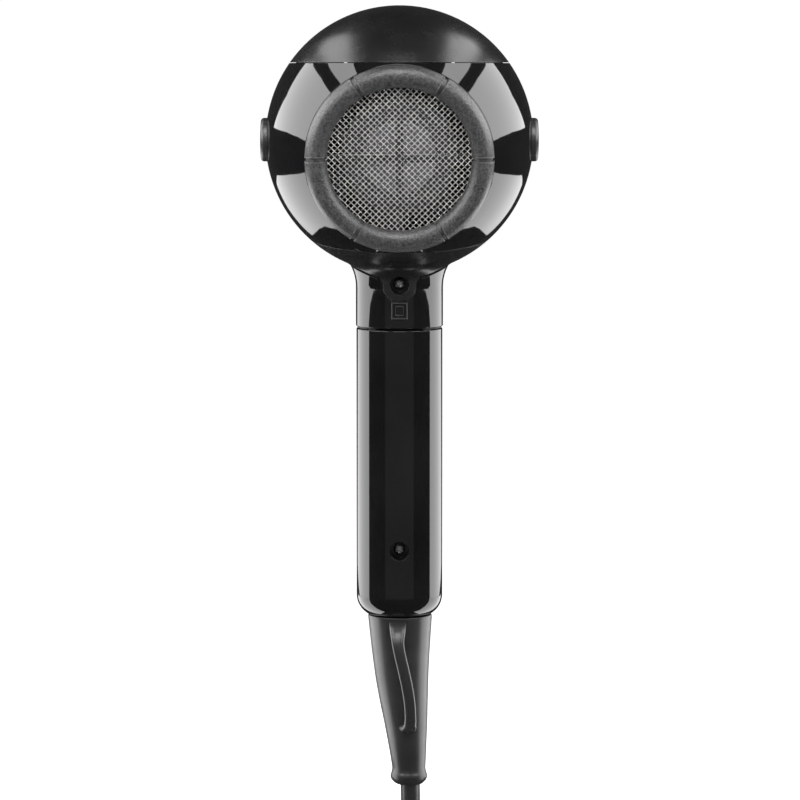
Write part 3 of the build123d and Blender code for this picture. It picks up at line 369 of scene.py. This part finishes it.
def tube(vertices, faces, path, radius, sides, closed=False):
    """Adds a round tube along a path of Vectors, keeping its rings untwisted."""
    first = len(vertices)
    count = len(path)
    side = None
    for k, here in enumerate(path):
        ahead = path[(k + 1) % count] if closed or k < count - 1 else here
        back = path[k - 1] if closed or k > 0 else here
        along = (ahead - back).normalized()
        if side is None:
            side = along.orthogonal().normalized()
        side = (side - along * side.dot(along)).normalized()
        other = along.cross(side)
        for s in range(sides):
            turn = 2 * math.pi * s / sides
            vertices.append(here + (side * math.cos(turn) + other * math.sin(turn)) * radius)
    rings = count if closed else count - 1
    for k in range(rings):
        for s in range(sides):
            a = first + k * sides + s
            b = first + k * sides + (s + 1) % sides
            c = first + ((k + 1) % count) * sides + (s + 1) % sides
            d = first + ((k + 1) % count) * sides + s
            faces.append((a, b, c, d))
    if not closed:
        faces.append(tuple(first + s for s in reversed(range(sides))))
        faces.append(tuple(first + rings * sides + s for s in range(sides)))


# ---- woven wire mesh of the filter ----
WIRE_R = 0.145
WIRE_PITCH = 1.535
MESH_R = 26.6
MESH_MIDDLE = 35.4
WAVE = 0.2
STEPS = 6
WIRE_SIDES = 6
weave_turn = math.radians(46.2)
weave_centre = intake_mm - forward * MESH_MIDDLE
weave_vertices, weave_faces = [], []
reach = int(MESH_R / WIRE_PITCH)
for family in (0, 1):
    turn = weave_turn + family * math.pi / 2
    along = around(turn)
    across = right * -math.sin(turn) + upward * math.cos(turn)
    for wire in range(-reach, reach + 1):
        offset = wire * WIRE_PITCH
        half = math.sqrt(max(MESH_R**2 - offset**2, 0))
        if half < WIRE_PITCH:
            continue
        steps = int(2 * half / WIRE_PITCH * STEPS)
        path = []
        for k in range(steps + 1):
            s = -half + 2 * half * k / steps
            rise = WAVE * math.cos(math.pi * s / WIRE_PITCH) * (-1) ** wire
            if family:
                rise = -rise
            path.append(weave_centre + along * s + across * offset - forward * rise)
        tube(weave_vertices, weave_faces, path, WIRE_R, WIRE_SIDES)
woven_mesh = mesh_piece(
    "woven_mesh", weave_vertices, weave_faces, finish_of["mesh_steel"], "filter"
)
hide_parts("filter_mesh")

# ---- grey cap on the fan's hub, behind the cross of the filter frame: (radius, distance back) ----
HUB_BACK = 31.8
HUB_CAP = (
    (0.0, 0.4), (2.2, 0.4), (2.8, 0.8), (4.4, 0.8), (5.2, 0.5), (10.8, 0.7), (12.4, 0.6), (13.0, 0.02),
)
HUB_SIDES = 64
MIDDLE_R = 0.01  # the innermost ring is all but a point
hub_vertices, hub_faces = [], []
for radius, rise in HUB_CAP:
    for k in range(HUB_SIDES):
        turn = 2 * math.pi * k / HUB_SIDES
        outwards = around(turn) * max(radius, MIDDLE_R)
        hub_vertices.append(intake_mm - forward * (HUB_BACK + rise) + outwards)
skin(hub_faces, 0, len(HUB_CAP), HUB_SIDES)
mesh_piece(
    "hub_cap", hub_vertices, hub_faces, finish_of["magnet_grey"], "rotor",
    smooth=False,
)

# ---- guide vanes ahead of the fan; each laps the next, so no light passes straight through ----
VANES = 14
VANE_IN_R, VANE_OUT_R = 16.2, 30.7
VANE_BACK, VANE_FRONT = 14.5, 5.5
VANE_T = 0.8
VANE_LAP = 1.35
VANE_CURVE = 1.4
VANE_STEPS = 8
vane_vertices, vane_faces = [], []
for vane in range(VANES):
    first = len(vane_vertices)
    for k in range(VANE_STEPS + 1):
        share = k / VANE_STEPS
        turn = 2 * math.pi / VANES * (vane + VANE_LAP * share**VANE_CURVE)
        outwards = around(turn)
        back = VANE_BACK + (VANE_FRONT - VANE_BACK) * share
        for r, shift in ((VANE_IN_R, 0), (VANE_OUT_R, 0), (VANE_OUT_R, VANE_T), (VANE_IN_R, VANE_T)):
            vane_vertices.append(intake_mm - forward * (back - shift) + outwards * r)
    bar(vane_faces, first, VANE_STEPS + 1)
mesh_piece(
    "guide_vanes", vane_vertices, vane_faces, finish_of["moulded_black"], "head",
    smooth=False,
)

# ---- lap behind the upper joint line of the rear band, on both sides of the filter ring ----
LAP_Z = 27.5  # above the ball centre
LAP_HALF = 1.3
LAP_R = 45.4  # just inside the covers
LAP_T = 0.5
LAP_FROM, LAP_SWEEP = 34, 76  # degrees from straight back, towards the side
LAP_STEPS = 28
lap_vertices, lap_faces = [], []
for side in (-1, 1):
    first = len(lap_vertices)
    for k in range(LAP_STEPS + 1):
        turn = math.radians(LAP_FROM + LAP_SWEEP * k / LAP_STEPS)
        for rise, inset in ((-LAP_HALF, 0), (LAP_HALF, 0), (LAP_HALF, LAP_T), (-LAP_HALF, LAP_T)):
            r = math.sqrt((LAP_R - inset) ** 2 - (LAP_Z + rise) ** 2)
            lap_vertices.append(
                Vector((r * math.sin(turn) * side, -r * math.cos(turn), BALL_Z + LAP_Z + rise))
            )
    bar(lap_faces, first, LAP_STEPS + 1)
mesh_piece(
    "joint_lap", lap_vertices, lap_faces, finish_of["moulded_black"], "head",
    smooth=False,
)

# ---- pairs of fine ribs beside the six grooves of the filter ring ----
CREST, CREST_R = 39.2, 29.4
RIM_BACK, RIM_R = 34.6, 33.3
OPENING_BACK, OPENING_R = 36.2, 25.4
RIB_R = 0.26
RIB_APART = 0.95  # from the groove's middle
RIB_SUNK = 0.08


def slope_points(edge_back, edge_r, steps):
    """Arc from the ring's edge up to its crest: (distance behind the ball centre, radius)."""
    reach = edge_r - CREST_R
    arc_middle = (CREST**2 - edge_back**2 - reach**2) / (2 * (CREST - edge_back))
    arc_r = CREST - arc_middle
    full = math.asin(abs(reach) / arc_r)
    return [
        (
            arc_middle + arc_r * math.cos(full * k / steps),
            CREST_R + arc_r * math.sin(full * k / steps) * math.copysign(1, reach),
        )
        for k in range(steps, -1, -1)
    ]


inner_slope = slope_points(OPENING_BACK, OPENING_R + 0.3, 7)[::-1]
rib_line = slope_points(RIM_BACK, RIM_R - 0.15, 8) + inner_slope[1:]
ring_ribs_vertices, ring_ribs_faces = [], []
for groove in range(6):
    turn = math.pi / 3 * groove
    radial = around(turn)
    sideways = upward * math.cos(turn) - right * math.sin(turn)
    for side in (-1, 1):
        tube(
            ring_ribs_vertices,
            ring_ribs_faces,
            [
                intake_mm - forward * (back - RIB_SUNK) + radial * r + sideways * RIB_APART * side
                for back, r in rib_line
            ],
            RIB_R,
            8,
        )
mesh_piece(
    "ring_ribs", ring_ribs_vertices, ring_ribs_faces, finish_of["grained_black"], "filter",
)

# ---- strain relief: a leaning rubber cone with a bead, and the strap of its hanging loop ----
# Stations of the cone: height, sideways centre, radius.
BOOT = (
    (-51.45, 0.2, 10.95),
    (-51.4, 0.2, 11.25),
    (-51.75, 0.2, 11.5),
    (-53.0, 0.24, 11.45),
    (-60.0, 0.36, 10.85),
    (-68.5, 0.62, 10.1),
    (-76.0, 1.0, 9.42),
    (-84.0, 1.65, 8.6),
    (-91.0, 2.28, 7.8),
    (-100.0, 2.95, 6.78),
    (-105.5, 3.3, 6.22),
    (-107.6, 3.4, 6.05),
    (-108.8, 3.42, 6.2),
    (-109.8, 3.42, 6.55),
    (-110.8, 3.42, 6.65),
    (-111.9, 3.42, 6.25),
    (-112.9, 3.45, 5.3),
    (-113.5, 3.6, 4.3),
    (-113.55, 3.8, 3.6),
)


def blended(stations, steps):
    """Points on a smooth line through the stations."""
    rows = []
    for k in range(len(stations) - 1):
        p0 = np.array(stations[max(k - 1, 0)], float)
        p1 = np.array(stations[k], float)
        p2 = np.array(stations[k + 1], float)
        p3 = np.array(stations[min(k + 2, len(stations) - 1)], float)
        # Tangents by height keep long and short spans equally smooth.
        d1 = (p2 - p0) / max(abs(p2[0] - p0[0]), 1e-6) * abs(p2[0] - p1[0])
        d2 = (p3 - p1) / max(abs(p3[0] - p1[0]), 1e-6) * abs(p2[0] - p1[0])
        for j in range(steps):
            t = j / steps
            rows.append(
                p1 * (2 * t**3 - 3 * t**2 + 1) + d1 * (t**3 - 2 * t**2 + t)
                + p2 * (3 * t**2 - 2 * t**3) + d2 * (t**3 - t**2)
            )
    rows.append(np.array(stations[-1], float))
    return rows


BOOT_SIDES = 96
BOOT_STEPS = 4  # rows from one station to the next
boot_vertices, boot_faces = [], []
boot_rows = blended(BOOT, BOOT_STEPS)
for height, lean, radius in boot_rows:
    for s in range(BOOT_SIDES):
        turn = 2 * math.pi * s / BOOT_SIDES
        boot_vertices.append(
            Vector((lean + radius * math.cos(turn), radius * math.sin(turn), height))
        )
skin(boot_faces, 0, len(boot_rows), BOOT_SIDES, flipped=True)
boot_faces.append(tuple(range(BOOT_SIDES)))
strain_relief = mesh_piece(
    "strain_relief", boot_vertices, boot_faces, finish_of["rubber_black"], "handle"
)
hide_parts("cord_boot")

# Strap line: sideways, out behind the axis, height, half width.
STRAP = (
    (-0.6, -8.5, -52.4, 3.2),
    (-0.6, -11.2, -53.6, 3.1),
    (-0.6, -13.6, -55.0, 2.9),
    (-0.6, -15.7, -56.9, 2.6),
    (-0.55, -17.0, -59.2, 2.25),
    (-0.2, -17.5, -61.8, 2.1),
    (0.45, -17.55, -65.0, 2.08),
    (1.6, -17.3, -70.0, 2.08),
    (2.75, -17.0, -75.5, 2.08),
    (3.6, -16.75, -81.0, 2.05),
    (3.95, -16.4, -86.0, 2.05),
    (3.85, -15.2, -89.4, 2.2),
    (3.45, -12.6, -91.3, 2.6),
    (3.1, -9.5, -91.7, 3.0),
    (3.0, -6.0, -91.8, 3.2),
)
STRAP_HALF_T = 1.3
STRAP_STEPS = 6  # rows from one station to the next
FLATNESS, ROUNDNESS = 0.75, 0.8
strap_rows = []
for k in range(len(STRAP) - 1):
    p0 = np.array(STRAP[max(k - 1, 0)])
    p1, p2 = np.array(STRAP[k]), np.array(STRAP[k + 1])
    p3 = np.array(STRAP[min(k + 2, len(STRAP) - 1)])
    for j in range(STRAP_STEPS):
        t = j / STRAP_STEPS
        strap_rows.append(
            0.5 * (2 * p1 + (p2 - p0) * t + (2 * p0 - 5 * p1 + 4 * p2 - p3) * t**2
                   + (3 * p1 - p0 - 3 * p2 + p3) * t**3)
        )
strap_rows.append(np.array(STRAP[-1]))
STRAP_SIDES = 32
strap_vertices, strap_faces = [], []
for k, row in enumerate(strap_rows):
    ahead = strap_rows[min(k + 1, len(strap_rows) - 1)]
    back = strap_rows[max(k - 1, 0)]
    along = Vector(ahead[:3] - back[:3]).normalized()
    wide = (right - along * right.dot(along)).normalized()
    thin = along.cross(wide)
    for s in range(STRAP_SIDES):
        turn = 2 * math.pi * s / STRAP_SIDES
        c, d = math.cos(turn), math.sin(turn)
        # A squared-off oval: flat faces and round edges.
        across = math.copysign(abs(c) ** FLATNESS, c) * row[3]
        through = math.copysign(abs(d) ** ROUNDNESS, d) * STRAP_HALF_T
        strap_vertices.append(Vector(row[:3]) + wide * across + thin * through)
skin(strap_faces, 0, len(strap_rows), STRAP_SIDES)
mesh_piece(
    "hanging_loop", strap_vertices, strap_faces, finish_of["rubber_black"], "handle"
)


# ---- screws with a domed head and a cross recess ----
HEAD_RINGS, HEAD_SPOKES = 26, 72
CROSS_TURN = 0.6  # radians that the cross is turned from upright
DOME_POWER = 2.6
ARM_HALF, ARM_SLOPE = 0.32, 0.14
ARM_REACH, ARM_END = 1.15, 0.3
RECESS_DEPTH = 0.75
HEAD_SIDE = 0.9
WELL_DEPTH = 8.0  # from the skin down to the rim of the head


def cross_head(name, centre, outwards, head_r, dome, body, node):
    """A head whose recess has four sloping arms; centre is the middle of its rim."""
    upright = Vector((0, 0, 1)) if abs(outwards.z) < 0.5 else Vector((0, 1, 0))
    side = upright.cross(outwards).normalized()
    top = outwards.cross(side)
    vertices, faces = [], []
    rings, spokes = HEAD_RINGS, HEAD_SPOKES
    for ring in range(rings + 1):
        r = head_r * ring / rings
        for k in range(spokes):
            turn = 2 * math.pi * k / spokes + CROSS_TURN
            x, y = r * math.cos(turn), r * math.sin(turn)
            u, w = r * math.cos(turn - CROSS_TURN), r * math.sin(turn - CROSS_TURN)
            height = dome * (1 - (r / head_r) ** DOME_POWER)
            arm = max(
                min((ARM_HALF - abs(w)) / ARM_SLOPE, (ARM_REACH - abs(u)) / ARM_END),
                min((ARM_HALF - abs(u)) / ARM_SLOPE, (ARM_REACH - abs(w)) / ARM_END),
            )
            height -= RECESS_DEPTH * min(max(arm, 0), 1) * (1 - 0.3 * r / head_r)
            vertices.append(centre + side * x + top * y + outwards * height)
    skin(faces, 0, rings + 1, spokes, flipped=True)
    base = len(vertices)
    for k in range(spokes):
        turn = 2 * math.pi * k / spokes + CROSS_TURN
        vertices.append(
            centre + (side * math.cos(turn) + top * math.sin(turn)) * head_r - outwards * HEAD_SIDE
        )
        a = rings * spokes + k
        b = rings * spokes + (k + 1) % spokes
        faces.append((a, base + k, base + (k + 1) % spokes, b))
    made = mesh_piece(name, vertices, faces, finish_of["screw_steel"], body)
    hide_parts(node)


rearwards = Vector((0, -1, 0))
for name, node, z, body, mouth in (
    ("neck_screw_head", "neck_screw", 68.8, "head", 15.65),
    ("handle_screw_head", "handle_screw", -26.7, "handle", 15.45),
):
    cross_head(name, Vector((0, -(mouth - WELL_DEPTH), z)), rearwards, 2.15, 0.7, body, node)

# ---- the square-in-square mark stands proud of the neck ----
MARK_Z = 59.6
NECK_R = 15.65
MARK_RISE, MARK_SLOPE = 0.27, 0.12
MARK_STEP = 0.25
mark_vertices, mark_faces = [], []


def bent_bar(x0, x1, z0, z1):
    """A thin raised bar with sloping sides, bent round the neck."""
    first = len(mark_vertices)
    steps = max(2, int((x1 - x0) / MARK_STEP))
    for k in range(steps + 1):
        x = x0 + (x1 - x0) * k / steps
        for z, lift in (
            (z0, 0.0), (z0 + MARK_SLOPE, MARK_RISE), (z1 - MARK_SLOPE, MARK_RISE), (z1, 0.0),
        ):
            end = min(k, steps - k)
            r = NECK_R + (lift if end else 0.0)
            turn = x / NECK_R
            mark_vertices.append(Vector((r * math.sin(turn), -r * math.cos(turn), z)))
    for k in range(steps):
        for j in range(3):
            a = first + k * 4 + j
            mark_faces.append((a, a + 4, a + 5, a + 1))


for half_w, half_h, line in ((2.8, 3.0, 0.5), (1.6, 1.8, 0.45)):
    for z_side in (-1, 1):
        z_out = MARK_Z + half_h * z_side
        bent_bar(-half_w, half_w, min(z_out, z_out - line * z_side), max(z_out, z_out - line * z_side))
    for x_side in (-1, 1):
        x_out = half_w * x_side
        bent_bar(
            min(x_out, x_out - line * x_side), max(x_out, x_out - line * x_side),
            MARK_Z - half_h, MARK_Z + half_h,
        )
mesh_piece(
    "neck_mark", mark_vertices, mark_faces, finish_of["moulded_black"], "head",
    smooth=False,
)

# ---- heating wire: each row is a fine helix laid in a circle ----
HELIX_R = 0.62
HELIX_TURNS = 54
HELIX_STEPS = 6
WIRE_ROWS = 8
ROWS_FROM, ROWS_LENGTH = 32.0, 62.0  # ahead of the intake centre
ROW_R = 20.5
HEATER_WIRE_R = 0.17
coil_vertices, coil_faces = [], []
for row in range(WIRE_ROWS):
    centre = intake_mm + forward * (ROWS_FROM + ROWS_LENGTH / WIRE_ROWS * (row + 0.5))
    path = []
    for k in range(HELIX_TURNS * HELIX_STEPS):
        twist = 2 * math.pi * k / HELIX_STEPS
        out = around(2 * math.pi * k / (HELIX_TURNS * HELIX_STEPS))
        path.append(
            centre
            + out * (ROW_R + HELIX_R * math.cos(twist))
            + forward * (HELIX_R * math.sin(twist))
        )
    tube(coil_vertices, coil_faces, path, HEATER_WIRE_R, 4, closed=True)
heating_wire = mesh_piece(
    "heating_wire", coil_vertices, coil_faces, finish_of["heater_wire"], "head"
)
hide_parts("heater_coils")

# ---- studio: pale floor, dim room, shaped glowing sheets at both sides, soft boxes in front ----
floor_data = bpy.data.meshes.new("floor")
FLOOR_Z = -0.1793
FLOOR_HALF = 40.0
floor_data.from_pydata(
    [(x, y, FLOOR_Z) for x, y in ((-1, -1), (1, -1), (1, 1), (-1, 1))], [], [(0, 1, 2, 3)]
)
for vertex in floor_data.vertices:
    vertex.co.x *= FLOOR_HALF
    vertex.co.y *= FLOOR_HALF
floor_material, floor_tree, floor_shader = plain_material("floor_paper")
floor_shader.inputs["Roughness"].default_value = 0.9
floor_shader.inputs["Specular IOR Level"].default_value = 0.0
paper = noise_map(floor_tree, 3.0)
paper_tone = ramp_of(floor_tree, paper, "Fac", (0.78, 0.78, 0.78), (0.8, 0.8, 0.8))
link(floor_tree, paper_tone, "Color", floor_shader, "Base Color")
floor_shader.inputs["Emission Color"].default_value = (1, 1, 1, 1)
floor_shader.inputs["Emission Strength"].default_value = 1.0
floor_data.materials.append(floor_material)
floor = bpy.data.objects.new("floor", floor_data)
scene.collection.objects.link(floor)
floor.visible_glossy = False

world = bpy.data.worlds.new("studio")
scene.world = world
world.use_nodes = True
world_tree = world.node_tree
world_tree.nodes.clear()
output = world_tree.nodes.new("ShaderNodeOutputWorld")
rays = world_tree.nodes.new("ShaderNodeLightPath")
white = node_of(world_tree, "ShaderNodeBackground", Color=(1, 1, 1, 1), Strength=1.05)
room = node_of(world_tree, "ShaderNodeBackground", Strength=1.0)
direction = world_tree.nodes.new("ShaderNodeTexCoord")
split = world_tree.nodes.new("ShaderNodeSeparateXYZ")
link(world_tree, direction, "Generated", split, "Vector")
# The room is dim on the camera's side and paler towards the backdrop.
room_tone = ramp_of(world_tree, split, "Y", 0.035, 0.5, 0.985, 1.0)
link(world_tree, room_tone, "Color", room, "Color")
choose = world_tree.nodes.new("ShaderNodeMixShader")
link(world_tree, rays, "Is Camera Ray", choose, "Fac")
link(world_tree, room, "Background", choose, 1)
link(world_tree, white, "Background", choose, 2)
link(world_tree, choose, "Shader", output, "Surface")


def soft_box(name, centre, width, height, toward, radiance):
    """A rectangular light whose face has this radiance, seen only by what it lights."""
    data = bpy.data.lights.new(name, "AREA")
    data.shape = "RECTANGLE"
    data.size = width
    data.size_y = height
    data.energy = radiance * math.pi * width * height
    made = bpy.data.objects.new(name, data)
    made.location = centre
    made.rotation_euler = Vector(toward).to_track_quat("-Z", "Y").to_euler()
    made.visible_camera = False
    scene.collection.objects.link(made)


def panel(name, x, outline, radiance):
    """A flat glowing sheet beside the dryer; its outline runs rearwards and upwards in millimetres."""
    data = bpy.data.meshes.new(name)
    corners = [(x, y * MM, z * MM) for y, z in outline]
    data.from_pydata(corners, [], [tuple(range(len(corners)))])
    material = bpy.data.materials.new(name)
    material.use_nodes = True
    tree = material.node_tree
    tree.nodes.clear()
    # The sheet is brightest beside the dryer and falls off towards the backdrop.
    place = tree.nodes.new("ShaderNodeTexCoord")
    split_place = tree.nodes.new("ShaderNodeSeparateXYZ")
    link(tree, place, "Object", split_place, "Vector")
    fall = node_of(tree, "ShaderNodeMath", operation="MULTIPLY_ADD")
    link(tree, split_place, "Y", fall, 0)
    fall.inputs[1].default_value = -FALL_OFF * radiance
    fall.inputs[2].default_value = radiance
    glow = node_of(tree, "ShaderNodeEmission", Color=(1, 1, 1, 1))
    link(tree, fall, "Value", glow, "Strength")
    out = tree.nodes.new("ShaderNodeOutputMaterial")
    link(tree, glow, "Emission", out, "Surface")
    data.materials.append(material)
    made = bpy.data.objects.new(name, data)
    made.visible_camera = False
    made.visible_shadow = False
    scene.collection.objects.link(made)


# The outlines of these sheets are fitted to where the highlights lie in the main view.
PANEL_X = 0.17
FALL_OFF = 1.9  # share of the radiance lost per metre
LOW_PANEL = (
    (-11, -230), (-11, 40), (-26, 49), (-60, 54), (-165, 56), (-165, 62), (0, 62), (42, 64),
    (153, 64), (243, 47), (284, 3), (320, -60), (320, -80), (190, -76), (120, -74), (72, -80),
    (54, -110), (50, -160), (40, -230),
)
# Below it hangs a small sheet, close in, for the rounded end of the grip and the boot.
END_X = 0.035
END_PANEL = ((-11, -49), (30, -49), (30, -75), (26, -118), (-11, -118))
MID_PANEL = (
    (-160, 112), (-41, 119), (-15, 125), (30, 130), (129, 131), (105, 156), (88, 182), (97, 214),
    (114, 252), (76, 264), (-12, 254), (-74, 239), (-160, 225),
)
HIGH_PANEL = (
    (17, 297), (-42, 290), (-91, 286), (-124, 320), (-124, 390), (-62, 400), (30, 440), (140, 470),
    (200, 450), (200, 330), (120, 300),
)
for side, word in ((-1, "left"), (1, "right")):
    panel(f"low_{word}", PANEL_X * side, LOW_PANEL, 5.0)
    panel(f"end_{word}", END_X * side, END_PANEL, 4.0)
    panel(f"mid_{word}", PANEL_X * side, MID_PANEL, 6.2)
    panel(f"high_{word}", PANEL_X * side, HIGH_PANEL, 5.0)
# A broad dim sheet behind the camera gives the grip its paler middle.
soft_box("behind_camera", (0, -2.2, 0.1), 3.5, 1.2, (0, 1, 0), 0.16)
# Front lights stand above the level that the upright grip mirrors, and light the matt pieces.
LIGHTS_AT = 0.8
for name, azimuth, elevation, size, radiance in (
    ("front_left", -50, 28, 0.36, 9.0),
    ("front_right", 50, 28, 0.36, 8.0),
    ("front_top", 0, 50, 0.46, 9.0),
    ("front_key", -8, 24, 0.16, 9.0),
):
    a, e = math.radians(azimuth), math.radians(elevation)
    out = Vector((math.sin(a) * math.cos(e), -math.cos(a) * math.cos(e), math.sin(e)))
    centre = Vector((0, 0, 0.08)) + out * LIGHTS_AT
    soft_box(name, centre, size, size, -out, radiance)
